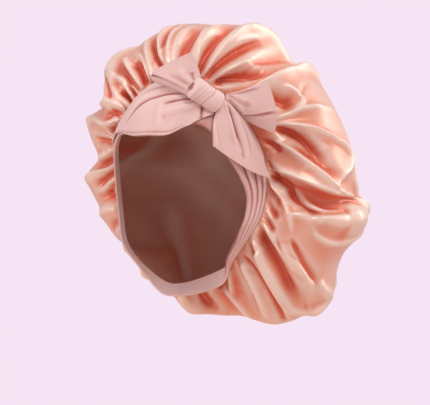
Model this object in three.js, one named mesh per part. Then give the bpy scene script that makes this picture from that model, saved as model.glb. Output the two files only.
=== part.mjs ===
// Sleep bonnet: a full satin crown gathered onto a wide tie band, with the band's two ends
// crossed over the forehead and tied in a bow at the left temple.
//
// Millimetres. +Z is up, the wearer faces -Y and the wearer's left side is +X.
// The origin is the middle of the wearer's head, inside the face opening.
// Angles run round the face opening in degrees: 0 is the top, 90 the wearer's left,
// 180 the nape and 270 the wearer's right.

import * as THREE from 'three';

// ---------------------------------------------------------------- driving sizes

const CROWN_HALF_WIDTH = 172;
const CROWN_HALF_HEIGHT = 186;
const CROWN_BACK_DEPTH = 137;      // from the crown's widest section to its back
const CROWN_MIDDLE = { y: 104, z: 11 };
const CROWN_WALL = 1.8;
const CROWN_COLUMNS = 80;          // mesh steps round the crown
const CROWN_ROWS = 16;             // mesh steps from the seam to the back
const MEAN_REACH = 0.95;           // of the widest section, see RIM
const FRONT_SHARE = 0.5;           // share of those rows in front of the widest section

const BAND_WALL = 2.6;
const BAND_COLUMNS = 56;
const BAND_ROWS = 7;
const BAND_SWELL_RADIUS = 92;      // the head under the band is about this round
const PLEAT_COUNT = 3;
const PLEAT_DEPTH = 1.6;
const PLEAT_SIDE = { from: 50, to: 175 };

const WRAP_WALL = 2;
const WRAP_LIFT = 4.4;             // the wrap's middle surface above the band's
const WRAP_COLUMNS = 16;
const WRAP_ROWS = 8;

const KNOT_MIDDLE = new THREE.Vector3(60, -41, 110);
const KNOT_AXIS = new THREE.Vector3(0.485, 0.663, -0.568);
const KNOT_HALF_LENGTH = 18;
const KNOT_RADIUS = { across: 12.5, deep: 10.5 };
const KNOT_SIDES = 16;

const TAIL_WALL = 2;
const TAIL_STEPS = 10;             // mesh steps along a tail
const TAIL_PANEL_STEPS = 5;        // mesh steps across each of its two panels

const SEAM_GAP = 1;                // clear space between the band's edge and the crown

// ---------------------------------------------------------------- shape tables

// The two edges of the band: the seam, which carries the crown, and the free edge at the face.
const RING = table(
  ['angle', 'seamX', 'seamY', 'seamZ', 'faceX', 'faceY', 'faceZ'],
  [
    [0, 0, -12, 131, 0, -86, 68],
    [20, 30, 14, 123, 24, -80, 67],
    [37, 55, 36, 98, 48, -56, 77],
    [55, 74, 42, 63, 67, -42, 62],
    [75, 82, 50, 34, 76, -26, 31],
    [92, 84, 47, 6, 78, -8, 10],
    [110, 83, 42, -18, 78, 7, -14],
    [123, 78, 36, -38, 74, 6, -38],
    [135, 68, 33, -54, 65, 6, -55],
    [147, 54, 35, -69, 53, 14, -72],
    [160, 34, 46, -84, 37, 26, -88],
    [180, 0, 72, -100, 0, 64, -119],
    [200, -50, 40, -112, -46, 14, -124],
    [213, -72, 14, -88, -63, -13, -90],
    [230, -89, 6, -58, -79, -24, -58],
    [250, -89, 0, -20, -79, -28, -20],
    [272, -85, -8, 15, -75, -36, 15],
    [298, -79, -18, 52, -69, -44, 52],
    [315, -66, -30, 72, -58, -52, 70],
    [328, -54, -26, 94, -42, -67, 73],
    [345, -30, -14, 122, -20, -81, 69],
  ],
);

// How far the crown's widest section reaches, as a share of its half width and half height.
const RIM = table(
  ['angle', 'reach'],
  [
    [1, 0.996], [21, 0.985], [30, 0.89], [52, 0.925], [82, 0.91], [103, 0.9],
    [109, 0.98], [125, 0.91], [143, 1.06], [162, 1.03], [177, 0.915], [195, 0.897],
    [217, 0.82], [232, 0.78], [244, 0.83], [260, 0.88], [275, 0.94], [286, 0.86],
    [297, 1], [306, 0.93], [325, 1.085], [331, 1], [336, 1.02], [347, 1.046],
  ],
);

// The crown's main folds. Each starts at the seam at one angle and has swung to another by
// the widest section. Height is out of the surface, so a hollow is negative.
const FOLDS = table(
  ['start', 'end', 'width', 'height'],
  [
    [3, 357, 5, 5], [6, 2, 5, -5], [12, 8, 5, 6], [16, 13, 5, -6],
    [18, 20, 5, 7], [21, 24, 5, -7], [24, 30, 5, 5], [26, 38, 5, -6],
    [31, 43, 5, 8], [45, 52, 6, -8], [54, 65, 6, 5], [58, 76, 6, -7],
    [67, 102, 6, 8], [80, 106, 5, 4], [94, 104, 6, -6], [99, 111, 6, -6],
    [95, 122, 6, 5], [110, 119, 5, 4], [129, 142, 6, 4], [132, 149, 6, -9],
    [141, 152, 6, 6], [155, 159, 5, -6], [160, 165, 6, 4], [164, 163, 6, -7],
    [174, 178, 6, 5], [181, 184, 6, -5], [196, 195, 6, 5], [205, 203, 6, -5],
    [213, 216, 6, 5], [222, 225, 6, -5], [231, 234, 6, 5], [241, 240, 6, -5],
    [250, 250, 6, 5], [259, 264, 6, -6], [273, 262, 5, -5], [289, 272, 6, 6],
    [301, 286, 5, 5], [306, 299, 5, -5], [325, 298, 5, 7], [322, 309, 5, -6],
    [334, 326, 5, 5], [336, 330, 4, -6], [343, 328, 5, 5], [345, 337, 4, -5],
    [350, 345, 5, 5], [355, 349, 5, -5],
  ],
);

// The forehead wrap's place on the band: the share of the band's width, from the face edge
// to the seam, where it starts and ends, and how far it stands up.
const WRAP = table(
  ['angle', 'lower', 'upper', 'lift'],
  [
    [306, 0.3, 0.62, 0],
    [316, 0.12, 0.86, 0.5],
    [330, 0.07, 0.93, 1],
    [345, 0.06, 0.93, 1.5],
    [360, 0.06, 0.91, 2.5],
    [372, 0.08, 0.87, 3],
    [380, 0.14, 0.8, 3],
    [386, 0.3, 0.68, 2],
  ],
);

// Each tail is a folded strip: one edge, the fold along its middle, and the other edge.
const TAIL_COLUMNS = ['along', 'aX', 'aY', 'aZ', 'foldX', 'foldY', 'foldZ', 'bX', 'bY', 'bZ'];

const TAIL_UPPER = table(TAIL_COLUMNS, [
  [0, 47, -49, 127, 42, -56, 122, 40, -53, 114],
  [0.5, 49, -48, 146, 20, -62, 133, 22, -53, 122],
  [1, 49, -47, 162, -5, -58, 142, 2, -48, 128],
]);

const TAIL_SIDE = table(TAIL_COLUMNS, [
  [0, 72, -14, 108, 73, -17, 101, 70, -16, 95],
  [0.5, 90, 8, 114, 92, 5, 88, 84, 9, 77],
  [1, 108, 28, 121, 115, 27, 84, 110, 29, 58],
]);

const TAIL_LOWER = table(TAIL_COLUMNS, [
  [0, 65, -31, 87, 73, -27, 90, 74, -20, 93],
  [0.33, 67, -44, 72, 80, -26, 73, 81, -5, 77],
  [0.66, 69, -50, 59, 87, -14, 48, 89, 19, 39],
  [1, 70, -53, 49, 93, -2, 24, 96, 37, 5],
]);

// ---------------------------------------------------------------- helpers

// A table's rows as objects with named columns.
function table(columns, rows) {
  return rows.map((row) => Object.fromEntries(columns.map((name, i) => [name, row[i]])));
}

// Smooth curve through (at, value) pairs, for at between the middle two of four.
function cubic(at, a, b, c, d) {
  const span = c.at - b.at;
  const u = (at - b.at) / span;
  const slopeB = ((c.value - a.value) / (c.at - a.at)) * span;
  const slopeC = ((d.value - b.value) / (d.at - b.at)) * span;
  const u2 = u * u;
  const u3 = u2 * u;
  return (2 * u3 - 3 * u2 + 1) * b.value + (u3 - 2 * u2 + u) * slopeB
    + (3 * u2 - 2 * u3) * c.value + (u3 - u2) * slopeC;
}

// A column's value at an angle, round a table that closes on itself.
function around(rows, column, angle) {
  const turns = Math.floor((angle - rows[0].angle) / 360);
  const within = angle - turns * 360;
  let i = rows.length - 1;
  while (rows[i].angle > within) i -= 1;
  const knots = [-1, 0, 1, 2].map((step) => {
    const k = i + step;
    const row = rows[(k + rows.length) % rows.length];
    return { at: row.angle + 360 * Math.floor(k / rows.length), value: row[column] };
  });
  return cubic(within, ...knots);
}

// A column's value along a table with two ends.
function along(rows, key, column, at) {
  const last = rows.length - 1;
  let i = 0;
  while (i < last - 1 && rows[i + 1][key] <= at) i += 1;
  const knot = (k) => {
    if (k < 0) {
      return {
        at: 2 * rows[0][key] - rows[1][key],
        value: 2 * rows[0][column] - rows[1][column],
      };
    }
    if (k > last) {
      return {
        at: 2 * rows[last][key] - rows[last - 1][key],
        value: 2 * rows[last][column] - rows[last - 1][column],
      };
    }
    return { at: rows[k][key], value: rows[k][column] };
  };
  return cubic(at, knot(i - 1), knot(i), knot(i + 1), knot(i + 2));
}

// Smallest turn from one angle to another, between -180 and 180.
function turn(from, to) {
  return ((to - from + 540) % 360 + 360) % 360 - 180;
}

function smoothstep(low, high, x) {
  return THREE.MathUtils.smoothstep(x, low, high);
}

// A closed solid made from a grid of points on a sheet and a wall thickness.
// ring: the columns close on themselves. pole: the last row is one point.
// inset: the share of the wall that lies inside the sheet.
function sheetSolid({ point, columns, rows, wall, inset = 0.5, ring = false, pole = false }) {
  const wide = ring ? columns : columns + 1;
  const deep = pole ? rows : rows + 1;
  const at = (i, j) => point(i / columns, j / rows);
  const nudge = 1e-3;
  const normalAt = (i, j) => {
    const u = i / columns;
    const v = THREE.MathUtils.clamp(j / rows, nudge, 1 - nudge);
    const low = ring ? u - nudge : Math.max(u - nudge, 0);
    const high = ring ? u + nudge : Math.min(u + nudge, 1);
    const alongU = point(high, v).sub(point(low, v));
    const alongV = point(u, v + nudge).sub(point(u, v - nudge));
    return alongU.cross(alongV).normalize();
  };
  const positions = [];
  const put = (p) => positions.push(p.x, p.y, p.z);
  for (const share of [1 - inset, -inset]) {
    for (let j = 0; j < deep; j += 1) {
      for (let i = 0; i < wide; i += 1) put(at(i, j).addScaledVector(normalAt(i, j), wall * share));
    }
  }
  const layer = wide * deep;
  const poles = [2 * layer, 2 * layer + 1];
  if (pole) {
    const tip = at(0, rows);
    put(tip.clone().add(new THREE.Vector3(0, wall * (1 - inset), 0)));
    put(tip.clone().add(new THREE.Vector3(0, -wall * inset, 0)));
  }
  const index = [];
  const id = (side, i, j) => side * layer + j * wide + (i % wide);
  const quad = (a, b, c, d) => index.push(a, b, c, a, c, d);
  for (let i = 0; i < columns; i += 1) {
    for (let j = 0; j < deep - 1; j += 1) {
      quad(id(0, i, j), id(0, i + 1, j), id(0, i + 1, j + 1), id(0, i, j + 1));
      quad(id(1, i, j), id(1, i, j + 1), id(1, i + 1, j + 1), id(1, i + 1, j));
    }
    quad(id(1, i, 0), id(1, i + 1, 0), id(0, i + 1, 0), id(0, i, 0));
    if (pole) {
      index.push(id(0, i, deep - 1), id(0, i + 1, deep - 1), poles[0]);
      index.push(id(1, i + 1, deep - 1), id(1, i, deep - 1), poles[1]);
    } else {
      quad(id(0, i, deep - 1), id(0, i + 1, deep - 1), id(1, i + 1, deep - 1), id(1, i, deep - 1));
    }
  }
  if (!ring) {
    for (let j = 0; j < deep - 1; j += 1) {
      quad(id(0, 0, j), id(0, 0, j + 1), id(1, 0, j + 1), id(1, 0, j));
      quad(id(1, columns, j), id(1, columns, j + 1), id(0, columns, j + 1), id(0, columns, j));
    }
  }
  const geometry = new THREE.BufferGeometry();
  geometry.setAttribute('position', new THREE.Float32BufferAttribute(positions, 3));
  geometry.setIndex(index);
  return facingOut(geometry);
}

// Turns the triangles round where the enclosed volume comes out negative.
function facingOut(geometry) {
  const p = geometry.getAttribute('position');
  const index = geometry.getIndex().array;
  const corner = (k) => new THREE.Vector3().fromBufferAttribute(p, index[k]);
  let volume = 0;
  for (let k = 0; k < index.length; k += 3) {
    volume += corner(k).dot(corner(k + 1).cross(corner(k + 2)));
  }
  if (volume < 0) {
    for (let k = 0; k < index.length; k += 3) [index[k], index[k + 1]] = [index[k + 1], index[k]];
  }
  geometry.computeVertexNormals();
  return geometry;
}

// ---------------------------------------------------------------- crown

function seamPoint(angle) {
  return new THREE.Vector3(...['seamX', 'seamY', 'seamZ'].map((c) => around(RING, c, angle)));
}

function facePoint(angle) {
  return new THREE.Vector3(...['faceX', 'faceY', 'faceZ'].map((c) => around(RING, c, angle)));
}

function outward(angle) {
  const r = THREE.MathUtils.degToRad(angle);
  return new THREE.Vector3(Math.sin(r), 0, Math.cos(r));
}

// The way the band's outer face looks.
function bandNormal(angle) {
  const step = 0.5;
  const across = seamPoint(angle).sub(facePoint(angle));
  const round = seamPoint(angle + step).add(facePoint(angle + step));
  round.sub(seamPoint(angle - step)).sub(facePoint(angle - step));
  return round.cross(across).normalize();
}

// A point on the widest section. even: from 0, as it is, to 1, with its lobes smoothed away.
function rimPoint(angle, even = 0) {
  const reach = THREE.MathUtils.lerp(around(RIM, 'reach', angle), MEAN_REACH, even);
  const way = outward(angle);
  return new THREE.Vector3(
    CROWN_HALF_WIDTH * reach * way.x,
    CROWN_MIDDLE.y,
    CROWN_MIDDLE.z + CROWN_HALF_HEIGHT * reach * way.z,
  );
}

// The crown without its folds. From the seam the cloth leaves the head, rolls out to the
// widest section, then closes over the back.
function smoothCrown(angle, way) {
  const back = Math.max(way - FRONT_SHARE, 0) / (1 - FRONT_SHARE);
  const rim = rimPoint(angle, smoothstep(0, 0.8, back));
  if (way >= FRONT_SHARE) {
    const w = back * (Math.PI / 2);
    const narrow = Math.max(Math.cos(w), 0) ** 0.9;
    return new THREE.Vector3(
      rim.x * narrow,
      CROWN_MIDDLE.y + CROWN_BACK_DEPTH * Math.sin(w) ** 0.95,
      CROWN_MIDDLE.z + (rim.z - CROWN_MIDDLE.z) * narrow,
    );
  }
  const face = facePoint(angle);
  const seam = seamPoint(angle);
  const behind = seam.clone().sub(face).normalize();
  const start = seam.addScaledVector(behind, SEAM_GAP + CROWN_WALL);
  const reach = Math.max(20, rim.clone().sub(start).dot(outward(angle)));
  const depth = rim.y - start.y;
  const away = outward(angle).add(bandNormal(angle)).normalize();
  const roll = start.clone().addScaledVector(away, 0.64 * reach);
  const shoulder = rim.clone();
  shoulder.y -= 0.6 * depth;
  return new THREE.CubicBezierCurve3(start, roll, shoulder, rim).getPoint(way / FRONT_SHARE);
}

// Height of the folds above the smooth crown.
function foldHeight(angle, way) {
  const grow = smoothstep(0.02, 0.28, way) * (1 - smoothstep(0.62, 0.95, way));
  const swung = smoothstep(0, FRONT_SHARE, way);
  let height = 0;
  for (const fold of FOLDS) {
    const middle = fold.start + turn(fold.start, fold.end) * swung;
    const off = turn(middle, angle) / fold.width;
    height += fold.height * Math.exp(-off * off);
  }
  return height * grow;
}

function crownPoint(u, way) {
  const angle = u * 360;
  const p = smoothCrown(angle, way);
  if (way >= 1) return p;
  const middle = new THREE.Vector3(0, CROWN_MIDDLE.y - 30, CROWN_MIDDLE.z);
  const out = p.clone().sub(middle).normalize();
  return p.addScaledVector(out, foldHeight(angle, way));
}

function crown() {
  return sheetSolid({
    point: crownPoint,
    columns: CROWN_COLUMNS,
    rows: CROWN_ROWS,
    wall: CROWN_WALL,
    ring: true,
    pole: true,
  });
}

// ---------------------------------------------------------------- band and wrap

// A point on the band: share 0 is the free edge at the face, 1 is the seam.
function bandPoint(angle, share, lift = 0) {
  const face = facePoint(angle);
  const seam = seamPoint(angle);
  const width = face.distanceTo(seam);
  const swell = (width * width) / (2 * BAND_SWELL_RADIUS);
  const side = smoothstep(PLEAT_SIDE.from, PLEAT_SIDE.from + 20, angle)
    * (1 - smoothstep(PLEAT_SIDE.to - 20, PLEAT_SIDE.to, angle));
  const pleat = PLEAT_DEPTH * side * Math.sin(Math.PI * share)
    * Math.sin(2 * Math.PI * PLEAT_COUNT * share);
  const p = face.lerp(seam, share);
  return p.addScaledVector(bandNormal(angle), swell * share * (1 - share) + pleat + lift);
}

function band() {
  return sheetSolid({
    point: (u, share) => bandPoint(u * 360, share),
    columns: BAND_COLUMNS,
    rows: BAND_ROWS,
    wall: BAND_WALL,
    ring: true,
  });
}

function foreheadWrap() {
  const first = WRAP[0].angle;
  const last = WRAP[WRAP.length - 1].angle;
  const point = (u, v) => {
    const angle = first + (last - first) * u;
    const at = (column) => along(WRAP, 'angle', column, angle);
    const share = at('lower') + (at('upper') - at('lower')) * v;
    const lift = WRAP_LIFT + at('lift') * (0.4 + 2.4 * v * (1 - v));
    return bandPoint(angle % 360, share, lift);
  };
  return sheetSolid({ point, columns: WRAP_COLUMNS, rows: WRAP_ROWS, wall: WRAP_WALL });
}

// ---------------------------------------------------------------- knot and tails

// A rounded sleeve of wound cloth, fullest at its middle.
function knot() {
  const profile = [[0, -1], [0.55, -1], [0.84, -0.86], [0.96, -0.5], [1, 0]];
  const mirrored = profile.slice(0, -1).reverse().map(([r, l]) => [r, -l]);
  const points = [...profile, ...mirrored];
  const outline = points.map(([r, l]) => new THREE.Vector2(r, l * KNOT_HALF_LENGTH));
  const geometry = new THREE.LatheGeometry(outline, KNOT_SIDES);
  geometry.scale(KNOT_RADIUS.across, 1, KNOT_RADIUS.deep);
  return geometry;
}

function tail(rows) {
  const point = (u, v) => {
    const at = (name) => new THREE.Vector3(
      ...['X', 'Y', 'Z'].map((axis) => along(rows, 'along', name + axis, u)),
    );
    const a = at('a');
    const fold = at('fold');
    const b = at('b');
    // a smooth curve through the three, rounder than a sharp crease
    const control = fold.multiplyScalar(2).addScaledVector(a, -0.5).addScaledVector(b, -0.5);
    return new THREE.QuadraticBezierCurve3(a, control, b).getPoint(v);
  };
  return sheetSolid({
    point,
    columns: TAIL_STEPS,
    rows: 2 * TAIL_PANEL_STEPS,
    wall: TAIL_WALL,
  });
}

// ---------------------------------------------------------------- assembly

function satin() {
  return new THREE.MeshStandardMaterial({ color: 0xe0a08c, roughness: 0.35, metalness: 0 });
}

function knit() {
  return new THREE.MeshStandardMaterial({ color: 0xe6b4ae, roughness: 0.8, metalness: 0 });
}

function piece(name, geometry, material) {
  const mesh = new THREE.Mesh(geometry, material);
  mesh.name = name;
  return mesh;
}

function bonnet() {
  const group = new THREE.Group();
  const tied = piece('knot', knot(), knit());
  tied.position.copy(KNOT_MIDDLE);
  tied.quaternion.setFromUnitVectors(new THREE.Vector3(0, 1, 0), KNOT_AXIS.clone().normalize());
  group.add(
    piece('crown', crown(), satin()),
    piece('band', band(), knit()),
    piece('forehead_wrap', foreheadWrap(), knit()),
    tied,
    piece('tail_upper', tail(TAIL_UPPER), knit()),
    piece('tail_side', tail(TAIL_SIDE), knit()),
    piece('tail_lower', tail(TAIL_LOWER), knit()),
  );
  return group;
}

export default bonnet();
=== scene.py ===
"""Sleep bonnet: a full satin crown gathered onto a wide tie band, tied in a bow at the temple.

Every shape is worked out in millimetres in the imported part's own frame (+Z up, the wearer faces
-Y, the wearer's left is +X) and turned into metres when its mesh is made. Angles run round the
face opening: 0 is the top, 90 the wearer's left, 180 the nape, 270 the wearer's right.
"""

import math

import bpy
import numpy as np
from mathutils import Matrix, Vector


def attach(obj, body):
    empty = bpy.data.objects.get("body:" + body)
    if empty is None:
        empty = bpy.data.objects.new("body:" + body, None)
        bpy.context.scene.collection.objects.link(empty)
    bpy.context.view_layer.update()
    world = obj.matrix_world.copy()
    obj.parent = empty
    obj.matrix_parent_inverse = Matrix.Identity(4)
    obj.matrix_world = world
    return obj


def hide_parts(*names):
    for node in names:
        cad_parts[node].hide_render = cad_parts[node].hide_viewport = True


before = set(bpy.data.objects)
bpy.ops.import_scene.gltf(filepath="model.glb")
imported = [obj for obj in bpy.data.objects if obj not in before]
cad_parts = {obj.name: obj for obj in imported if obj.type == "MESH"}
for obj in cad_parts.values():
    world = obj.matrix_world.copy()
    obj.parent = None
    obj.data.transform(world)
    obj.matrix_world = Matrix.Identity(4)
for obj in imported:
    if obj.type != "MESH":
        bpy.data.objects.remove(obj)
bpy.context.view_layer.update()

MM = 0.001
TAU = 2 * math.pi

# ---------------------------------------------------------------- shape tables

# The two edges of the band: the seam, which carries the crown, and the free edge at the face.
RING_COLUMNS = ("angle", "seam_x", "seam_y", "seam_z", "face_x", "face_y", "face_z")
RING = (
    (0, 0, -12, 131, 0, -86, 68),
    (20, 30, 14, 123, 24, -80, 67),
    (37, 55, 36, 98, 48, -56, 77),
    (55, 74, 42, 63, 67, -42, 62),
    (75, 82, 50, 34, 76, -26, 31),
    (92, 84, 47, 6, 78, -8, 10),
    (110, 83, 42, -18, 78, 7, -14),
    (123, 78, 36, -38, 74, 6, -38),
    (135, 68, 33, -54, 65, 6, -55),
    (147, 54, 35, -69, 53, 14, -72),
    (160, 34, 46, -84, 37, 26, -88),
    (180, 0, 72, -100, 0, 64, -119),
    (200, -50, 40, -112, -46, 14, -124),
    (213, -72, 14, -88, -63, -13, -90),
    (230, -89, 6, -58, -79, -24, -58),
    (250, -89, 0, -20, -79, -28, -20),
    (272, -85, -8, 15, -75, -36, 15),
    (298, -79, -18, 52, -69, -44, 52),
    (315, -66, -30, 72, -58, -52, 70),
    (328, -54, -26, 94, -42, -67, 73),
    (345, -30, -14, 122, -20, -81, 69),
)

# How far the crown's widest section reaches, as a share of its half width and half height.
RIM_COLUMNS = ("angle", "reach")
RIM = (
    (1, 1.0), (21, 0.985), (30, 0.86), (43, 0.86), (52, 0.88), (82, 0.91), (92, 0.92), (103, 0.9),
    (109, 0.98), (118, 0.965), (128, 0.955), (143, 1.06), (162, 1.03), (177, 0.915), (195, 0.897),
    (213, 0.8), (225, 0.75), (234, 0.75), (244, 0.835), (260, 0.88), (276, 0.965), (287, 0.845),
    (297, 0.97), (302, 1.0), (308, 0.91), (314, 0.88), (320, 0.98), (324, 1.1), (327, 1.09),
    (331, 1.01), (336, 1.03), (347, 1.05),
)

# The crown's folds. Each runs through three places, given as an angle and a way (0 at the seam,
# 0.5 at the widest section, 1 at the middle of the back). before and after are its widths in
# millimetres on the side of the smaller and the larger angles, height is out of the surface, so
# a hollow is negative, and sharp is 0 for a round fold and 1 for a creased one.
FOLD_COLUMNS = ("first1", "second1", "first2", "second2", "first3", "second3",
                "before", "after", "height", "sharp")
FOLDS = (
    # top, from the bow's upper tail towards the wearer's left
    (2, 0.03, 0, 0.2, 357, 0.45, 5, 5, 5, 0.4),
    (5, 0.07, 4, 0.22, 2, 0.4, 6, 6, -8, 0),
    (8, 0.04, 9, 0.2, 4, 0.44, 4, 4, 5, 0.5),
    (12, 0.04, 11, 0.2, 8, 0.5, 5, 5, 7, 0.6),
    (15, 0.03, 15, 0.2, 14, 0.46, 5, 5, -9, 0),
    (16, 0.03, 20, 0.26, 16, 0.62, 9, 3, 10, 1),
    (20, 0.03, 24, 0.22, 24, 0.56, 5, 7, -12, 0),
    (28, 0.3, 31, 0.46, 29, 0.62, 7, 7, -3.5, 0),
    (22, 0.03, 27, 0.2, 29, 0.42, 5, 6, 7, 0.5),
    (25, 0.02, 31, 0.17, 38, 0.38, 6, 6, -12, 0),
    (33, 0.02, 42, 0.28, 40, 0.78, 4, 12, 10, 1),
    # the wearer's left, above the big ridge
    (43, 0.15, 50, 0.24, 59, 0.31, 10, 10, -15, 0),
    (49, 0.36, 58, 0.37, 60, 0.24, 4, 4, 3, 0.7),
    (56, 0.1, 61, 0.31, 65, 0.6, 3.5, 4.5, 5, 1),
    (58, 0.1, 68, 0.26, 81, 0.54, 4, 6, 7, 0.9),
    (61, 0.12, 73, 0.225, 90, 0.37, 6, 8, -13, 0),
    (76, 0.44, 87, 0.57, 97, 0.37, 4, 5, 6, 0.9),
    (63, 0, 70, 0.06, 78, 0.1, 4, 4, -6, 0),
    (70, 0.09, 90, 0.28, 97, 0.46, 4, 8, 9, 1),
    (84, 0, 97, 0.27, 102, 0.6, 12, 2.5, 10, 1),
    (79, 0, 86, 0.03, 91, 0.07, 4, 5, -8, 0),
    # the wearer's left, below it
    (98, 0.42, 104, 0.58, 112, 0.7, 8, 3, 6, 0.9),
    (96, 0.1, 102, 0.26, 106, 0.52, 6, 10, -8, 0),
    (77, 0.18, 87, 0.3, 95, 0.46, 6, 5, -4, 0),
    (90, 0.01, 93, 0.06, 99, 0.14, 4, 4, -9, 0),
    (99, 0.12, 107, 0.19, 112, 0.31, 5, 7, -10, 0),
    (112, 0.24, 108, 0.4, 108, 0.62, 7, 3, -3.5, 0.4),
    (116, 0.12, 111, 0.32, 111, 0.62, 4, 8, 3.5, 0.3),
    (107, 0.5, 111, 0.61, 114, 0.73, 16, 36, 11.5, 0.1),
    (40, 0.52, 42, 0.61, 44, 0.7, 8, 10, 7, 0.4),
    (19, 0.5, 20, 0.57, 22, 0.64, 7, 7, 5, 0.5),
    (150, 0.5, 146, 0.58, 142, 0.68, 10, 10, 6, 0.3),
    (94, 0.01, 109, 0.085, 124, 0.18, 4, 4, 9, 1),
    (97, 0, 104, 0.04, 111, 0.1, 4, 5, -5, 0),
    (110, 0, 116, 0.03, 121, 0.09, 4, 4, -5.5, 0),
    (119, 0.3, 120, 0.48, 115, 0.68, 5, 7, 4, 0.8),
    (120, 0, 125, 0.04, 129, 0.1, 4, 4, -5, 0),
    (127, 0.2, 132, 0.31, 138, 0.48, 5, 4, -5, 0.2),
    (129, 0.02, 135, 0.14, 140, 0.32, 6, 4, 6, 0.6),
    (131, 0.12, 137, 0.2, 139, 0.35, 4, 4, -4, 0),
    (131, 0, 141, 0.14, 147, 0.42, 10, 11, -15, 0),
    (136, 0.44, 140, 0.53, 145, 0.62, 8, 8, 5, 0.6),
    # low at the back of the neck
    (145, 0, 146, 0.03, 147, 0.06, 4, 4, -8, 0),
    (141, 0.01, 149, 0.15, 151, 0.42, 6, 7, 8, 0.4),
    (151, 0.36, 149, 0.47, 145, 0.6, 7, 7, 4, 0.4),
    (155, 0.01, 154, 0.2, 159, 0.52, 3, 4, -7, 0.4),
    (159, 0.03, 160, 0.15, 164, 0.38, 6, 6, 6, 0.4),
    (163, 0, 167, 0.08, 164, 0.2, 6, 7, -11, 0),
    (172, 0, 177, 0.07, 178, 0.2, 4, 5, 7, 0.7),
    (175, 0, 180, 0.05, 184, 0.12, 4, 4, -8, 0),
    (181, 0.1, 177, 0.27, 169, 0.42, 6, 6, 5, 0.5),
    (188, 0.02, 189, 0.15, 186, 0.36, 6, 6, -8, 0),
    (195, 0.02, 197, 0.2, 194, 0.5, 7, 7, 7, 0.4),
    # the wearer's right
    (204, 0.02, 207, 0.14, 203, 0.4, 6, 6, -6, 0),
    (213, 0.02, 214, 0.16, 218, 0.4, 7, 7, 4, 0.4),
    (223, 0.02, 221, 0.1, 227, 0.3, 6, 6, -5, 0),
    (233, 0.02, 230, 0.16, 236, 0.4, 8, 7, 4, 0.4),
    (243, 0.01, 246, 0.1, 244, 0.25, 6, 6, -5, 0),
    (252, 0.02, 256, 0.14, 254, 0.34, 7, 6, 4, 0.4),
    (258, 0.01, 262, 0.06, 264, 0.2, 6, 6, -8, 0),
    (273, 0.01, 268, 0.05, 262, 0.12, 5, 5, -7, 0),
    (289, 0, 281, 0.09, 272, 0.28, 6, 5, 8, 0.7),
    (285, 0, 277, 0.06, 269, 0.16, 5, 5, -8, 0),
    (294, 0, 288, 0.06, 281, 0.18, 5, 5, -6, 0),
    (301, 0, 295, 0.05, 286, 0.16, 5, 5, 7, 0.6),
    (306, 0, 303, 0.05, 299, 0.15, 5, 5, -6, 0),
    (325, 0.01, 314, 0.1, 298, 0.34, 5, 8, 9, 1),
    (324, 0, 317, 0.03, 310, 0.05, 7, 7, -10, 0),
    # top, towards the wearer's right
    (331, 0, 325, 0.08, 304, 0.42, 5, 5, 6, 0.7),
    (328, 0, 322, 0.06, 314, 0.14, 5, 5, -6, 0),
    (331, 0, 330, 0.06, 327, 0.15, 3, 3, 5, 0.8),
    (325, 0.09, 325, 0.18, 322, 0.27, 6, 6, -6, 0),
    (334, 0, 333, 0.05, 331, 0.11, 3, 3, -10, 0),
    (335, 0.01, 335, 0.07, 333, 0.13, 2, 2, 3, 0.8),
    (337, 0.01, 337, 0.06, 335, 0.13, 3, 3, -8, 0),
    (339, 0.01, 334, 0.13, 322, 0.26, 3, 4, 7, 0.9),
    (340, 0.02, 337, 0.12, 330, 0.28, 4, 4, -6, 0),
    (342, 0.01, 339, 0.13, 329, 0.38, 3, 4, 6, 0.8),
    (345, 0.02, 344, 0.1, 341, 0.18, 6, 6, -9, 0),
    (348, 0.01, 347, 0.11, 341, 0.22, 3, 3, 6, 0.8),
    (351, 0.01, 349, 0.14, 343, 0.32, 3, 3, 6, 0.8),
    (356, 0.05, 352, 0.16, 347, 0.3, 4, 4, -9, 0),
    (355, 0.12, 351, 0.25, 349, 0.46, 4, 4, 5, 0.6),
    (354, 0.2, 353, 0.3, 351, 0.42, 4, 4, -4, 0),
    (359, 0.03, 357, 0.2, 351, 0.46, 3, 3, 6, 1),
    # soft ones over the back
    (20, 0.55, 40, 0.68, 66, 0.72, 12, 14, 5, 0.3),
    (96, 0.62, 110, 0.7, 136, 0.72, 12, 12, 5, 0.4),
    (140, 0.62, 160, 0.74, 200, 0.76, 12, 14, 5, 0.3),
    (215, 0.55, 238, 0.66, 262, 0.7, 13, 12, 5, 0.4),
    (272, 0.5, 290, 0.66, 312, 0.74, 12, 12, 5, 0.3),
    (322, 0.52, 345, 0.66, 10, 0.7, 12, 12, 5, 0.3),
)
FOLD_STRENGTH = 1.2          # times the heights in the table
GATHERS = 104                # small tucks that take the crown into its seam
GATHER_HEIGHT = 4.4
GATHER_MIDDLE = 330          # the angle where they are tightest
GATHER_SPREAD = 26
SMALL_FOLDS = 70
SMALL_FOLDS_SEED = 7
RIPPLE_HEIGHT = 0.45         # of the satin between its folds

# The forehead wrap on the band: the share of the band's width where it starts and ends, and how
# far it stands up. Its end at the knot is cut slanting, so its lower edge runs on further.
WRAP_COLUMNS = ("angle", "lower", "upper", "lift")
WRAP = (
    (306, 0.3, 0.62, 0), (314, 0.04, 0.9, 0.5), (324, -0.02, 0.97, 1), (345, -0.03, 0.97, 1.5),
    (360, -0.03, 0.94, 2.5), (372, -0.03, 0.88, 3), (380, -0.04, 0.8, 3), (388, -0.06, 0.7, 2.5),
    (393, -0.07, 0.67, 2), (396, -0.06, 0.65, 1.5), (399, 0.08, 0.63, 1), (402, 0.26, 0.6, 1),
)
WRAP_FIRST = 306
WRAP_LAST = 386              # where its upper edge ends
WRAP_SLANT = 15              # how much further its lower edge runs
WRAP_LIFT = 4.4              # of its middle surface off the band
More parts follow.
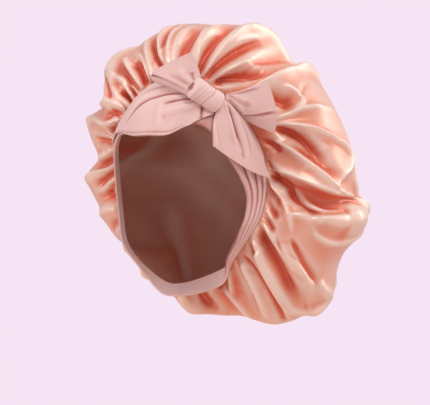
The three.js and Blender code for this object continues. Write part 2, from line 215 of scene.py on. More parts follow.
# Its creases, each through three places given as an angle and a share of the wrap's own width.
WRAP_FOLDS = (
    (390, 0.6, 364, 0.57, 334, 0.12, 3, 3, -2.6, 0.1),
    (390, 0.7, 362, 0.68, 342, 0.3, 2.6, 2.6, 1.8, 0.3),
    (390, 0.8, 366, 0.79, 338, 0.42, 2, 3, -2.6, 0.2),
    (390, 0.66, 378, 0.55, 364, 0.38, 3, 3, -3.4, 0.1),
    (393, 0.6, 382, 0.4, 364, 0.26, 3.5, 2.5, 3, 0.8),
    (366, 0.42, 367, 0.23, 371, 0.06, 3.5, 3.5, 1.8, 0.2),
    (325, 0.04, 362, 0.035, 397, 0.045, 0.9, 0.9, -1.4, 0.2),
    (398, 0.02, 396, 0.27, 390, 0.56, 2, 3, -2.2, 0.3),
)

KNOT_MIDDLE = (60, -41, 110)
KNOT_AXIS = (0.485, 0.663, -0.568)
KNOT_HALF_LENGTH = 21
KNOT_RADIUS = (13.4, 11.2)
# The turns of cloth wound round the knot: where along it, from -1 to 1, and how wide and high.
KNOT_TURNS = (
    (-0.82, 0.26, 1.6), (-0.5, 0.16, 1.8), (-0.24, 0.14, 1.6), (-0.02, 0.13, 1.9), (0.68, 0.6, 3),
)

# Each tail is a folded strip: one edge, the fold along its middle, and the other edge.
TAIL_COLUMNS = ("along", "a_x", "a_y", "a_z", "fold_x", "fold_y", "fold_z", "b_x", "b_y", "b_z")
TAIL_UPPER = (
    (0, 57, -44, 132, 45, -56, 121, 44, -52, 110),
    (0.5, 54, -45, 146, 22, -62, 133, 24, -51, 121),
    (1, 49, -47, 163, -2, -58, 142, 4, -47, 128),
)
TAIL_SIDE = (
    (0, 72, -14, 108, 73, -17, 101, 70, -16, 95),
    (0.5, 90, 8, 114, 92, 5, 88, 84, 9, 77),
    (1, 108, 28, 121, 117, 28, 83, 110, 29, 58),
)
TAIL_LOWER = (
    (0, 65, -31, 87, 71, -27, 95, 72, -22, 104),
    (0.33, 67, -44, 72, 79, -27, 71, 85, -3, 80),
    (0.66, 69, -50, 59, 85, -15, 44, 91, 20, 41),
    (1, 70, -53, 49, 89, -4, 17, 96, 37, 5),
)

# The tails' creases, each through three places given as the way along and across.
TAIL_UPPER_FOLDS = (
    (0.02, 0.2, 0.2, 0.14, 0.36, 0.1, 3, 3, -1.8, 0.1),
    (0, 0.3, 0.3, 0.27, 0.62, 0.2, 3, 5, 2, 0.3),
    (0, 0.42, 0.3, 0.4, 0.7, 0.4, 4, 4, -1.5, 0.2),
    (0.1, 0.72, 0.5, 0.68, 0.95, 0.66, 3, 3, -2.5, 0.2),
    (0.3, 0.66, 0.7, 0.6, 1.15, 0.54, 2.4, 2, -4, 0.2),
)
TAIL_SIDE_FOLDS = (
    (0.02, 0.05, 0.4, 0.045, 0.85, 0.05, 1.2, 1.2, -1.3, 0.2),
    (0.04, 0.1, 0.3, 0.3, 0.6, 0.36, 4, 5, -3.5, 0.1),
    (0.02, 0.3, 0.25, 0.55, 0.42, 0.74, 2.5, 2.5, -2.5, 0.2),
    (0.3, 0.84, 0.65, 0.6, 1, 0.49, 1.3, 1.3, -2, 0.2),
    (0.33, 0.93, 0.67, 0.68, 1, 0.57, 2.5, 4, 2.2, 0.5),
)
TAIL_LOWER_FOLDS = (
    (0.03, 0.84, 0.35, 0.6, 0.68, 0.42, 3, 2, 2.2, 0.5),
    (0.12, 0.88, 0.45, 0.67, 0.88, 0.5, 2.2, 5, -4.6, 0.3),
    (0.04, 1, 0.4, 0.83, 0.8, 0.6, 2, 3, 2.4, 0.5),
    (0.2, 0.06, 0.6, 0.05, 1, 0.05, 2, 3, 1.2, 0.3),
)

CROWN_HALF = (172.0, 186.0)  # the widest section's half width and half height
CROWN_BACK = 137.0           # from the widest section to the middle of the back
CROWN_MIDDLE = (104.0, 11.0)  # the widest section's y and z
CROWN_ROLL = 0.64            # how far the front rolls outward, as a share of its reach
CROWN_SHOULDER = 0.6         # how far it runs straight back, as a share of its depth
LEAST_REACH = 20
MEAN_REACH = 0.95            # what the widest section's reach evens out to over the back
FRONT_SHARE = 0.5            # of the way, from the seam to the widest section
SEAM_GAP = 1.5
BAND_SWELL_RADIUS = 92       # of the band's rounding from its free edge to the seam
TUCKS = 3.4                  # across the band at the wearer's left
TUCK_HEIGHT = 4
SLOT_DEPTH = 3.5
BAND_WALL = 2.0
FOLDED_WALL = 1.6            # of the forehead wrap and the tails


def table(columns, rows):
    """A table's columns by name, as arrays."""
    return dict(zip(columns, np.array(rows, float).T))


RING = table(RING_COLUMNS, RING)
RIM = table(RIM_COLUMNS, RIM)
FOLDS = table(FOLD_COLUMNS, FOLDS)
WRAP = table(WRAP_COLUMNS, WRAP)
WRAP_FOLDS = table(FOLD_COLUMNS, WRAP_FOLDS)


def smoothstep(low, high, x):
    u = np.clip((x - low) / (high - low), 0, 1)
    return u * u * (3 - 2 * u)


def cubic(u, span, before, a, b, after, va, v0, v1, vb):
    """A smooth curve from v0 to v1, u of the way from a to b, led by the values before and after."""
    slope0 = (v1 - va) / (b - before) * span
    slope1 = (vb - v0) / (after - a) * span
    u2, u3 = u * u, u * u * u
    near_end = (2 * u3 - 3 * u2 + 1) * v0 + (u3 - 2 * u2 + u) * slope0
    return near_end + (3 * u2 - 2 * u3) * v1 + (u3 - u2) * slope1


def around(rows, column, angle):
    """A column's value at each angle, round a table that closes on itself."""
    keys, values = rows["angle"], rows[column]
    n = len(keys)
    within = keys[0] + np.mod(np.asarray(angle, float) - keys[0], 360)
    i = np.searchsorted(keys, within, side="right") - 1

    def key(k):
        return keys[k % n] + 360 * np.floor_divide(k, n)

    a, b = key(i), key(i + 1)
    return cubic((within - a) / (b - a), b - a, key(i - 1), a, b, key(i + 2),
                 values[(i - 1) % n], values[i % n], values[(i + 1) % n], values[(i + 2) % n])


def along(rows, column, at):
    """A column's value along a table with two ends, whose first column is the key."""
    keys, values = next(iter(rows.values())), rows[column]
    keys = np.concatenate([[2 * keys[0] - keys[1]], keys, [2 * keys[-1] - keys[-2]]])
    values = np.concatenate([[2 * values[0] - values[1]], values, [2 * values[-1] - values[-2]]])
    at = np.asarray(at, float)
    i = np.clip(np.searchsorted(keys, at, side="right") - 1, 1, len(keys) - 3)
    a, b = keys[i], keys[i + 1]
    return cubic((at - a) / (b - a), b - a, keys[i - 1], a, b, keys[i + 2],
                 values[i - 1], values[i], values[i + 1], values[i + 2])


def turn(start, end):
    """The smallest turn from one angle to another."""
    return np.mod(end - start + 180, 360) - 180


def unit(v):
    return v / np.maximum(np.linalg.norm(v, axis=-1, keepdims=True), 1e-9)


def seam_point(angle):
    return np.stack([around(RING, c, angle) for c in ("seam_x", "seam_y", "seam_z")], -1)


def face_point(angle):
    return np.stack([around(RING, c, angle) for c in ("face_x", "face_y", "face_z")], -1)


def outward(angle):
    r = np.radians(angle)
    return np.stack([np.sin(r), 0 * r, np.cos(r)], -1)


def band_normal(angle):
    """The way the band's outer face looks."""
    step = 0.5
    across = seam_point(angle) - face_point(angle)
    ahead = seam_point(angle + step) + face_point(angle + step)
    behind = seam_point(angle - step) + face_point(angle - step)
    return unit(np.cross(ahead - behind, across))


def rim_point(angle, even):
    reach = around(RIM, "reach", angle)
    reach = reach + (MEAN_REACH - reach) * even
    way = outward(angle)
    middle_y, middle_z = CROWN_MIDDLE
    return np.stack([CROWN_HALF[0] * reach * way[..., 0], np.full_like(reach, middle_y),
                     middle_z + CROWN_HALF[1] * reach * way[..., 2]], -1)


def smooth_crown(angle, way):
    """The crown without its folds: out of the seam, round the widest section, over the back."""
    angle, way = np.broadcast_arrays(np.asarray(angle, float), np.asarray(way, float))
    back = np.clip((way - FRONT_SHARE) / (1 - FRONT_SHARE), 0, 1)
    rim = rim_point(angle, smoothstep(0, 0.8, back))
    face, seam = face_point(angle), seam_point(angle)
    start = seam + unit(seam - face) * SEAM_GAP
    reach = np.maximum(LEAST_REACH, ((rim - start) * outward(angle)).sum(-1))[..., None]
    depth = (rim - start)[..., 1:2]
    away = unit(outward(angle) + band_normal(angle))
    roll = start + away * CROWN_ROLL * reach
    shoulder = rim - np.array([0, CROWN_SHOULDER, 0]) * depth
    u = np.clip(way / FRONT_SHARE, 0, 1)[..., None]
    front = ((1 - u) ** 3 * start + 3 * (1 - u) ** 2 * u * roll
             + 3 * (1 - u) * u * u * shoulder + u ** 3 * rim)
    w = back * math.pi / 2
    narrow = np.clip(np.cos(w), 0, 1) ** 0.9
    middle_y, middle_z = CROWN_MIDDLE
    rear = np.stack([rim[..., 0] * narrow, middle_y + CROWN_BACK * np.sin(w) ** 0.95,
                     middle_z + (rim[..., 2] - middle_z) * narrow], -1)
    return np.where((way < FRONT_SHARE)[..., None], front, rear)


def band_point(angle, share, lift=0.0):
    """A point on the band: share 0 is the free edge at the face, 1 is the seam."""
    angle, share, lift = np.broadcast_arrays(*[np.asarray(x, float) for x in (angle, share, lift)])
    face, seam = face_point(angle), seam_point(angle)
    width = np.linalg.norm(seam - face, axis=-1)
    swell = width ** 2 / (2 * BAND_SWELL_RADIUS) * share * (1 - share)
    p = face + (seam - face) * share[..., None]
    return p + band_normal(angle) * (swell + lift)[..., None]


# ---------------------------------------------------------------- meshes

def grid_faces(wide, deep, ring):
    """The quads of a grid of deep rows with wide points each; a ring closes on itself."""
    i = np.arange(wide if ring else wide - 1)
    j = np.arange(deep - 1)
    i, j = np.meshgrid(i, j, indexing="ij")
    k = (i + 1) % wide
    quads = np.stack([j * wide + i, j * wide + k, (j + 1) * wide + k, (j + 1) * wide + i], -1)
    return quads.reshape(-1, 4)


def mesh_object(name, points, faces, extra=()):
    """points in millimetres; faces an array of quads, extra a list of other faces."""
    mesh = bpy.data.meshes.new(name)
    mesh.from_pydata((np.asarray(points) * MM).tolist(), [], [*faces.tolist(), *extra])
    mesh.validate()
    mesh.shade_smooth()
    obj = bpy.data.objects.new(name, mesh)
    bpy.context.scene.collection.objects.link(obj)
    return obj


def crown_normal(angle, way):
    """The way the unfolded crown's outer face looks."""
    ahead, behind = smooth_crown(angle + 0.6, way), smooth_crown(angle - 0.6, way)
    out = smooth_crown(angle, np.minimum(way + 0.004, 0.996))
    back = smooth_crown(angle, np.maximum(way - 0.004, 0))
    return unit(np.cross(ahead - behind, out - back))


def through(a, b, c, t):
    """A curve through three values, at 0, 0.5 and 1."""
    return a * (1 - t) * (1 - 2 * t) + 4 * b * t * (1 - t) + c * t * (2 * t - 1)


def fold_height(points, normals, line_at, folds):
    """How far a table of folds lifts or sinks each point of a surface, in millimetres.

    line_at gives the surface's point at two arrays of its own coordinates."""
    total = np.zeros(len(points))
    t = np.linspace(0, 1, 41)
    for k in range(len(folds["height"])):
        row = {name: values[k] for name, values in folds.items()}
        line = line_at(through(row["first1"], row["first2"], row["first3"], t),
                       through(row["second1"], row["second2"], row["second3"], t))
        slope = np.gradient(line, axis=0)
        reach = 5 * max(row["before"], row["after"])
        low, high = line.min(0) - reach, line.max(0) + reach
        near = np.flatnonzero(((points > low) & (points < high)).all(-1))
        p = points[near]
        square = (p ** 2).sum(-1)[:, None] - 2 * p @ line.T + (line ** 2).sum(-1)
        i = square.argmin(-1)
        run = ((p - line[i]) * slope[i]).sum(-1) / (slope[i] ** 2).sum(-1)
        place = np.clip(i + np.clip(run, -1, 1), 0, len(t) - 1)
        a = np.minimum(place.astype(int), len(t) - 2)
        part = (place - a)[:, None]
        offset = p - line[a] - (line[a + 1] - line[a]) * part
        distance = np.linalg.norm(offset, axis=-1)
        tangent = unit(slope[a] + (slope[a + 1] - slope[a]) * part)
        side = (offset * np.cross(normals[near], tangent)).sum(-1)
        share = place / (len(t) - 1)
        width = row["after"] + (row["before"] - row["after"]) * (0.5 + 0.5 * np.tanh(side))
        width = width * (0.6 + 0.5 * share)
        round_fold = np.exp(-(distance / width) ** 2 * 0.7)
        creased = np.exp(-(np.sqrt(distance ** 2 + 1) - 1) / width)
        shape = round_fold + (creased - round_fold) * row["sharp"]
        fade = smoothstep(-0.15, 0.2, share) * smoothstep(1.05, 0.7, share)
        total[near] += row["height"] * shape * fade
    return total


def gather_height(angle, way):
    """The small tucks along the seam, tightest over the wearer's right temple."""
    wave = np.radians(angle)
    phase = angle / 360 * GATHERS + 0.45 * np.sin(wave * 7) + 0.4 * np.sin(wave * 17 + 1)
    number = np.floor(phase)
    chance = np.mod(np.sin(number * 12.9898) * 43758.5, 1)
    tuck = (np.abs(np.sin(math.pi * phase)) - 0.5) * (0.5 + chance)
    tight = 0.12 + 0.88 * np.exp(-(turn(GATHER_MIDDLE, angle) / GATHER_SPREAD) ** 2)
    reach = 0.03 + 0.05 * chance
    return GATHER_HEIGHT * tuck * tight * smoothstep(0, 0.012, way) * np.exp(-(way / reach) ** 1.5)


def blurred(p, times, ring):
    """A grid of points smoothed over its neighbours; a ring closes on itself along its rows."""
    for _ in range(times):
        padded = np.pad(p, ((1, 1), (0, 0), (0, 0)), mode="edge")
        p = (padded[:-2] + padded[1:-1] + padded[2:]) / 3
        padded = np.pad(p, ((0, 0), (1, 1), (0, 0)), mode="wrap" if ring else "edge")
        p = (padded[:, :-2] + padded[:, 1:-1] + padded[:, 2:]) / 3
    return p


def sunk(p, n, times, ring=False):
    """How far each point of a grid lies below its smoothed neighbourhood, in millimetres."""
    return ((blurred(p, times, ring) - p) * n).sum(-1)


def keep_crease_shade(obj, values):
    """Store a value per vertex for the materials: -1 on a ridge, which they lighten as a painted highlight, 1
    at the bottom of a crease, which they darken and redden as painted shade.
    """
    data = obj.data.attributes.new("crease", "FLOAT", "POINT")
    data.data.foreach_set("value", np.clip(values, -1, 1).astype(np.float32))


def small_folds(count, seed):
    """Many small creases, mostly running out from the seam, in the same columns as the folds."""
    rng = np.random.default_rng(seed)
    first = rng.uniform(0, 360, count)
    start = 0.02 + 0.4 * rng.uniform(0, 1, count) ** 1.6
    length = rng.uniform(0.06, 0.2, count)
    swing = rng.normal(0, 7, count)
    bend = rng.normal(0, 2.5, count)
    up = rng.uniform(0, 1, count) < 0.5
    before, after = rng.uniform(1.8, 4.5, (2, count))
    height = rng.uniform(0.3, 1.0, count) * np.where(up, 1, -1.2)
    sharp = np.where(up, rng.uniform(0.5, 1, count), rng.uniform(0, 0.5, count))
    return {"first1": first, "second1": start, "first2": first + swing / 2 + bend,
            "second2": start + length / 2, "first3": first + swing, "second3": start + length,
            "before": before, "after": after, "height": height, "sharp": sharp}


def ripple(p):
    """A slow unevenness that keeps the satin between its folds from being perfectly round."""
    x, y, z = p[..., 0] / 30, p[..., 1] / 34, p[..., 2] / 30
    bent = x + 1.3 * np.sin(z * 0.7 + y), z + 1.1 * np.sin(x * 0.8 - y * 0.6)
    return np.sin(bent[0] + 1.7 * np.sin(bent[1])) + 0.7 * np.sin(1.9 * bent[1] + np.cos(1.3 * bent[0] + y))


def crown():
    columns, rows = 640, 148
    angle = np.arange(columns) * 360 / columns
    way = np.interp(np.linspace(0, 1, rows), (0, 0.14, 0.64, 1), (0, 0.06, 0.5, 0.992))
    A, W = np.meshgrid(angle, way)
    p, n = smooth_crown(A, W), crown_normal(A, W)
    folds = dict(FOLDS)
    folds["first2"] = folds["first1"] + turn(folds["first1"], folds["first2"])
    folds["first3"] = folds["first2"] + turn(folds["first2"], folds["first3"])

    def lift(table_of_folds):
        return fold_height(p.reshape(-1, 3), n.reshape(-1, 3),
                           lambda a, w: smooth_crown(a, np.clip(w, 0, 0.97)), table_of_folds).reshape(A.shape)

    height = FOLD_STRENGTH * lift(folds) + lift(small_folds(SMALL_FOLDS, SMALL_FOLDS_SEED))
    height = height + RIPPLE_HEIGHT * ripple(p) * smoothstep(0.05, 0.2, W)
    height = height * smoothstep(0, 0.05, W) * smoothstep(1, 0.9, W) + gather_height(A, W)
    p = p + n * height[..., None]
    # Painted shade and highlight: the satin's colour is darker and redder in its creases and paler on its
    # ridges, and darkened further as painted shade at the seam behind the bow.
    painted_bow_shade = 0.8 * np.exp(-((A - 63) / 14) ** 2) * smoothstep(0.17, 0.03, W)
    crease = sunk(p, n, 36, True) / 4.5 + sunk(p, n, 4, True) / 1.6 + painted_bow_shade
    faces = grid_faces(columns, rows, True)
    pole = smooth_crown(0, 1).reshape(1, 3)
    last = (rows - 1) * columns
    tip = rows * columns
    fan = [(last + i, last + (i + 1) % columns, tip) for i in range(columns)]
    obj = mesh_object("crown_satin", np.vstack([p.reshape(-1, 3), pole]), faces, fan)
    keep_crease_shade(obj, np.append(crease.ravel(), 0))
    return obj


def pleats(angle, share):
    """The band's long tucks on the wearer's left, which fade out before the nape: how far the band
    stands up, and from 0 to 1 how deep in a slot between two tucks it is."""
    close = smoothstep(48, 80, angle) * smoothstep(185, 155, angle) \
        * smoothstep(0, 0.08, share) * smoothstep(1, 0.92, share)
    step = np.mod(share * TUCKS + 0.3 + 0.25 * np.sin(np.radians(angle * 2.3)), 1)
    fold = TUCK_HEIGHT * (np.minimum((1 - step) / 0.82, step / 0.18) ** 0.7 - 0.7)
    slot = np.exp(-((np.mod(step + 0.46, 1) - 0.5) / 0.09) ** 2)
    return close * (fold - SLOT_DEPTH * slot), close * slot


def band():
    columns, rows = 420, 97
    A, S = np.meshgrid(np.arange(columns) * 360 / columns, np.linspace(0, 1, rows))
    tucks, slots = pleats(A, S)
    p = band_point(A, S, tucks)
    obj = mesh_object("tie_band", p.reshape(-1, 3), grid_faces(columns, rows, True))
    # Painted shade: the band is darkened in its creases, in the slots between its tucks more than their depth
    # gives, under the bow and, a little, all along its left side; it is lightened on its ridges as a painted
    # highlight.
    shaded = 0.24 * smoothstep(60, 85, A) * smoothstep(170, 140, A) + 0.6 * np.exp(-((A - 41) / 11) ** 2)
    keep_crease_shade(obj, (sunk(p, band_normal(A), 24, True) / 2 + 1.3 * slots + shaded).ravel())
    return obj


def wrap_point(angle, share):
    """A point on the forehead wrap's middle surface, share 0 at its lower edge and 1 at its upper."""
    angle, share = np.broadcast_arrays(np.asarray(angle, float), np.asarray(share, float))
    lower, upper = along(WRAP, "lower", angle), along(WRAP, "upper", angle)
    lift = WRAP_LIFT + along(WRAP, "lift", angle) * (0.4 + 2.4 * share * (1 - share))
    return band_point(np.mod(angle, 360), lower + (upper - lower) * share, lift)


def surface_normals(p):
    """Normals of a grid of points with two free sides each way."""
    return unit(np.cross(np.gradient(p, axis=1), np.gradient(p, axis=0)))


def folded_sheet(name, p, n, line_at, folds, shade=0):
    """A grid of points lifted along n by a table of folds, as a mesh, with painted shade in its creases and a
    painted highlight on its ridges; shade adds more painted shade.
    """
    height = fold_height(p.reshape(-1, 3), n.reshape(-1, 3), line_at, folds).reshape(p.shape[:2])
    p = p + n * height[..., None]
    obj = mesh_object(name, p.reshape(-1, 3), grid_faces(p.shape[1], p.shape[0], False))
    keep_crease_shade(obj, (sunk(p, n, 24) / 1.3 + shade).ravel())
    return obj


def forehead_wrap():
    U, V = np.meshgrid(np.linspace(0, 1, 220), np.linspace(0, 1, 70))
    A = WRAP_FIRST + U * (WRAP_LAST - WRAP_FIRST + WRAP_SLANT * (1 - V ** 1.8) * U ** 2)
    p = wrap_point(A, V)
    return folded_sheet("wrap_cloth", p, surface_normals(p), wrap_point, WRAP_FOLDS)


def knot():
    """A roll of cloth wound several times round, fullest at its middle."""
    axis = unit(np.array(KNOT_AXIS))
    out = unit(np.cross(np.cross(axis, (0.55, -0.75, 0.5)), axis))
    across = np.cross(axis, out)
    rings, sides = 150, 120
    s = -np.cos(np.linspace(0.03, math.pi - 0.03, rings))[:, None]
    theta = np.arange(sides) * TAU / sides
    slant = s + 0.15 * np.cos(theta + 0.5) + 0.05 * np.sin(2 * theta)
    body = (1 - 0.1 * s) * np.clip(1 - np.abs(s) ** 26, 0, 1) ** 0.5
    rolls = [h * np.sqrt(np.clip(1 - ((slant - c) / w) ** 2, 0, 1)) for c, w, h in KNOT_TURNS]
    lift = (np.max(rolls, axis=0) - 1.6) * body
    p = (np.array(KNOT_MIDDLE) + axis * (s * KNOT_HALF_LENGTH)[..., None]
         + across * ((KNOT_RADIUS[0] * body + lift) * np.cos(theta))[..., None]
         + out * ((KNOT_RADIUS[1] * body + lift) * np.sin(theta))[..., None])
    ends = [tuple(range(sides))[::-1], tuple(range((rings - 1) * sides, rings * sides))]
    obj = mesh_object("knot_cloth", p.reshape(-1, 3), grid_faces(sides, rings, True), ends)
    radial = across * np.cos(theta)[:, None] + out * np.sin(theta)[:, None]
    # Painted shade in the hollows between the knot's turns and a painted highlight on the turns.
    keep_crease_shade(obj, sunk(p, radial, 40, True).ravel() / 0.8)
    return obj


def tail_surface(rows):
    """The middle surface of a tail, as a function of the way along it and across it."""
    rows = table(TAIL_COLUMNS, rows)

    def point(u, v):
        u, v = np.broadcast_arrays(np.asarray(u, float), np.asarray(v, float))
        a, fold, b = (np.stack([along(rows, f"{line}_{axis}", u) for axis in "xyz"], -1)
                      for line in ("a", "fold", "b"))
        v = v[..., None]
        low, high = a + (fold - a) * 2 * v, fold + (b - fold) * (2 * v - 1)
        straight = np.where(v < 0.5, low, high)
        control = 2 * fold - (a + b) / 2
        curve = (1 - v) ** 2 * a + 2 * v * (1 - v) * control + v ** 2 * b
        return straight + (curve - straight) * 0.6
    return point


def tail(name, rows, folds, shade=0):
    """A tail of the bow. shade is painted shade, darkening it just under its fold, where the layer behind
    shows.
    """
    point = tail_surface(rows)
    U, V = np.meshgrid(np.linspace(0, 1, 120), np.linspace(0, 1, 90))
    p = point(U, V)
    under = shade * np.exp(-((V - 0.59) / 0.06) ** 2) * smoothstep(0.15, 0.5, U)
    return folded_sheet(name, p, surface_normals(p), point, table(FOLD_COLUMNS, folds), under)


# ---------------------------------------------------------------- materials

def principled(name, colour, roughness):
    mat = bpy.data.materials.new(name)
    mat.use_nodes = True
    shader = mat.node_tree.nodes["Principled BSDF"]
    shader.inputs["Base Color"].default_value = (*colour, 1)
    shader.inputs["Roughness"].default_value = roughness
    return mat


def add(tree, kind, **inputs):
    """A new node with some of its inputs set."""
    node = tree.nodes.new(kind)
    for name, value in inputs.items():
        node.inputs[name.replace("_", " ")].default_value = value
    return node


def ramp_node(tree, source, stops):
    """A colour ramp with these (position, colour) stops, read from source."""
    ramp = tree.nodes.new("ShaderNodeValToRGB")
    elements = ramp.color_ramp.elements
    while len(elements) < len(stops):
        elements.new(0.5)
    for element, (position, colour) in zip(elements, stops):
        element.position = position
        element.color = (*colour, 1)
    tree.links.new(source, ramp.inputs["Fac"])
    return ramp.outputs["Color"]


def crease_shade_value(tree):
    """The mesh's crease attribute, from 0 on a ridge to 1 in a crease, which picks the painted highlight and
    painted shade of the colour ramps.
    """
    crease = tree.nodes.new("ShaderNodeAttribute")
    crease.attribute_name = "crease"
    shift = add(tree, "ShaderNodeMapRange", From_Min=-1, From_Max=1)
    tree.links.new(crease.outputs["Fac"], shift.inputs["Value"])
    return shift.outputs["Result"]


def noise(tree, scale, stretch=(1, 1, 1), detail=2.0):
    """Noise with this many features to a metre, squeezed along each axis by stretch."""
    place = tree.nodes.new("ShaderNodeTexCoord")
    size = add(tree, "ShaderNodeMapping", Scale=[scale * k for k in stretch])
    texture = add(tree, "ShaderNodeTexNoise", Scale=1.0, Detail=detail)
    tree.links.new(place.outputs["Object"], size.inputs["Vector"])
    tree.links.new(size.outputs["Vector"], texture.inputs["Vector"])
    return texture.outputs["Fac"]


def bumps(tree, layers):
    """Bump nodes one on another, from (height source, strength, depth in metres) layers."""
    last = None
    for source, strength, depth in layers:
        bump = add(tree, "ShaderNodeBump", Strength=strength, Distance=depth)
        tree.links.new(source, bump.inputs["Height"])
        if last:
            tree.links.new(last, bump.inputs["Normal"])
        last = bump.outputs["Normal"]
    tree.links.new(last, tree.nodes["Principled BSDF"].inputs["Normal"])


def varied(tree, colour, source, low, high):
    """A colour made darker and lighter by source, between the factors low and high."""
    amount = add(tree, "ShaderNodeMapRange", From_Min=0.3, From_Max=0.7, To_Min=low, To_Max=high)
    tree.links.new(source, amount.inputs["Value"])
    scaled = tree.nodes.new("ShaderNodeVectorMath")
    scaled.operation = "SCALE"
    tree.links.new(colour, scaled.inputs[0])
    tree.links.new(amount.outputs["Result"], scaled.inputs["Scale"])
    tree.links.new(scaled.outputs["Vector"], tree.nodes["Principled BSDF"].inputs["Base Color"])


def satin_material():
    mat = principled("satin", (0.8, 0.44, 0.34), 0.36)
    tree = mat.node_tree
    shader = tree.nodes["Principled BSDF"]
    # From ridge to crease: a pale painted highlight on the ridges, the satin's own colour between, and deeper
    # red painted shade in the creases.
    colour = ramp_node(tree, crease_shade_value(tree), (
        (0.1, (0.845, 0.64, 0.545)), (0.4, (0.79, 0.46, 0.37)),
        (0.64, (0.76, 0.32, 0.21)), (0.95, (0.71, 0.155, 0.09))))
    varied(tree, colour, noise(tree, 22), 0.94, 1.05)
    unevenness = noise(tree, 160, (1, 1, 0.5), 3.0)
    weave = noise(tree, 1500, (0.25, 0.25, 1.6))
    bumps(tree, ((unevenness, 0.25, 0.0008), (weave, 0.18, 0.0002)))
    shader.inputs["Metallic"].default_value = 0.15
    shader.inputs["Anisotropic"].default_value = 0.3
    shader.inputs["Coat Weight"].default_value = 0.18
    shader.inputs["Coat Roughness"].default_value = 0.38
    shader.inputs["Coat IOR"].default_value = 1.6
    shader.inputs["Coat Tint"].default_value = (1, 0.95, 0.9, 1)
    return mat


def knit_material():
    mat = principled("knit", (0.72, 0.48, 0.43), 0.78)
    tree = mat.node_tree
    # From ridge to crease: a pale painted highlight on the ridges, the knit's own colour between, and dark
    # red painted shade in the creases.
    colour = ramp_node(tree, crease_shade_value(tree), (
        (0.2, (0.785, 0.55, 0.525)), (0.5, (0.73, 0.485, 0.45)),
        (0.7, (0.58, 0.3, 0.26)), (0.95, (0.42, 0.13, 0.11))))
    varied(tree, colour, noise(tree, 500, (1, 1, 1), 3.0), 0.95, 1.04)
    unevenness = noise(tree, 90)
    stitches = noise(tree, 1400, (1, 1, 0.4))
    bumps(tree, ((unevenness, 0.25, 0.0008), (stitches, 0.35, 0.0003)))
    tree.nodes["Principled BSDF"].inputs["Sheen Weight"].default_value = 0.25
    return mat


satin = satin_material()
knit = knit_material()


def finish_piece(obj, node, material, wall):
    """wall is a sheet's thickness in millimetres, or 0 for one layer or a closed shape."""
    obj.data.materials.append(material)
    if wall:
        solid = obj.modifiers.new("wall", "SOLIDIFY")
        solid.thickness = wall * MM
        solid.offset = 0
    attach(obj, "root")
    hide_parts(node)


finish_piece(crown(), "crown", satin, 0)
finish_piece(band(), "band", knit, BAND_WALL)
finish_piece(forehead_wrap(), "forehead_wrap", knit, FOLDED_WALL)
finish_piece(knot(), "knot", knit, 0)
upper_tail = tail("upper_tail", TAIL_UPPER, TAIL_UPPER_FOLDS, 0.9)
finish_piece(upper_tail, "tail_upper", knit, FOLDED_WALL)
side_tail = tail("side_tail", TAIL_SIDE, TAIL_SIDE_FOLDS)
finish_piece(side_tail, "tail_side", knit, FOLDED_WALL)
lower_tail = tail("lower_tail", TAIL_LOWER, TAIL_LOWER_FOLDS)
finish_piece(lower_tail, "tail_lower", knit, FOLDED_WALL)

# ---------------------------------------------------------------- stage, light and camera

CAMERA_AZIMUTH = 28
CAMERA_ROLL = 5
CAMERA_DISTANCE = 7.0
CAMERA_CENTRE = (0.0348, -0.015)  # what it looks at, to its right and up from the origin
PICTURE_WIDTH = 430
PICTURE_SCALE = 1.2 * MM     # of the object, to each step of the picture's width
SENSOR_WIDTH = 36
LIGHT_AIM = (0, 0.08, 0)
PALE = (0.92, 0.775, 0.905)
SOFT_LIGHT = (0.66, 0.57, 0.58)
FLOOR_LIGHT = (0.92, 0.66, 0.56)


def seen_or_lighting(tree, lighting):
    """A colour output: the pale studio colour as the camera sees it, another as it lights the cloth."""
    path = tree.nodes.new("ShaderNodeLightPath")
    shade = tree.nodes.new("ShaderNodeMix")
    shade.data_type = "RGBA"
    colours = [socket for socket in shade.inputs if socket.type == "RGBA"]
    colours[0].default_value = (*lighting, 1)
    colours[1].default_value = (*PALE, 1)
    tree.links.new(path.outputs["Is Camera Ray"], shade.inputs["Factor"])
    return next(socket for socket in shade.outputs if socket.type == "RGBA")


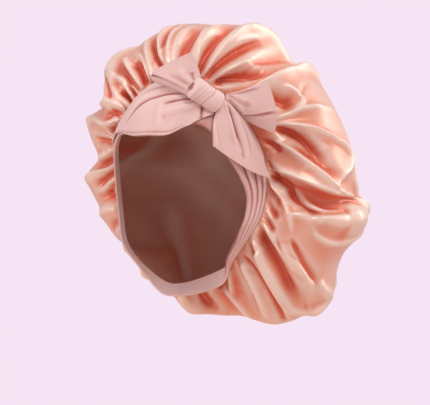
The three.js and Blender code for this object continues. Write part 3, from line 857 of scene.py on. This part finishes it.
def stage():
    mesh = bpy.data.meshes.new("floor")
    radius, height, sides = 1.1, -0.6, 64
    turns = [TAU * k / sides for k in range(sides)]
    rim = [(radius * math.cos(a), radius * math.sin(a), height) for a in turns]
    mesh.from_pydata(rim, [], [tuple(range(sides))])
    floor = bpy.data.objects.new("floor", mesh)
    bpy.context.scene.collection.objects.link(floor)
    mat = principled("floor", (0, 0, 0), 1)
    shader = mat.node_tree.nodes["Principled BSDF"]
    shader.inputs["Specular IOR Level"].default_value = 0
    mat.node_tree.links.new(seen_or_lighting(mat.node_tree, FLOOR_LIGHT), shader.inputs["Emission Color"])
    shader.inputs["Emission Strength"].default_value = 1.0
    mesh.materials.append(mat)
    world = bpy.data.worlds.new("studio")
    bpy.context.scene.world = world
    world.use_nodes = True
    world.node_tree.links.new(
        seen_or_lighting(world.node_tree, SOFT_LIGHT), world.node_tree.nodes["Background"].inputs["Color"])


def view_axes():
    """The camera's right, up and back."""
    azimuth, roll = math.radians(CAMERA_AZIMUTH), math.radians(CAMERA_ROLL)
    side, up = Vector((math.cos(azimuth), math.sin(azimuth), 0)), Vector((0, 0, 1))
    right = side * math.cos(roll) - up * math.sin(roll)
    top = side * math.sin(roll) + up * math.cos(roll)
    return right, top, right.cross(top)


def area_light(name, place, size, power, colour=(1, 1, 1)):
    """A soft box. place is in metres to the camera's right, up and towards it."""
    data = bpy.data.lights.new(name, "AREA")
    data.shape = "RECTANGLE"
    data.size, data.size_y = size
    data.energy = power
    data.color = colour
    light = bpy.data.objects.new(name, data)
    light.location = sum((axis * step for axis, step in zip(view_axes(), place)), Vector(LIGHT_AIM))
    aim = Vector(LIGHT_AIM) - light.location
    light.rotation_euler = aim.to_track_quat("-Z", "Y").to_euler()
    bpy.context.scene.collection.objects.link(light)


def camera():
    right, top, back = view_axes()
    centre = right * CAMERA_CENTRE[0] + top * CAMERA_CENTRE[1]
    data = bpy.data.cameras.new("camera")
    data.sensor_width = SENSOR_WIDTH
    data.lens = CAMERA_DISTANCE * SENSOR_WIDTH / (PICTURE_WIDTH * PICTURE_SCALE)
    cam = bpy.data.objects.new("camera", data)
    matrix = Matrix((right, top, back)).transposed().to_4x4()
    matrix.translation = centre + back * CAMERA_DISTANCE
    cam.matrix_world = matrix
    bpy.context.scene.collection.objects.link(cam)
    bpy.context.scene.camera = cam


stage()
area_light("key", (0.9, 1.5, 1.4), (0.9, 0.9), 18.5, (0.97, 0.98, 0.96))
area_light("left", (-1.7, 0.5, 0.9), (0.4, 1.6), 10.5)
area_light("top", (-0.1, 1.9, 0.1), (0.7, 0.7), 3)
area_light("rim", (1.7, 0.7, -0.9), (0.7, 1.4), 13, (1, 0.97, 0.92))
camera()
bpy.context.scene.view_settings.view_transform = "Standard"
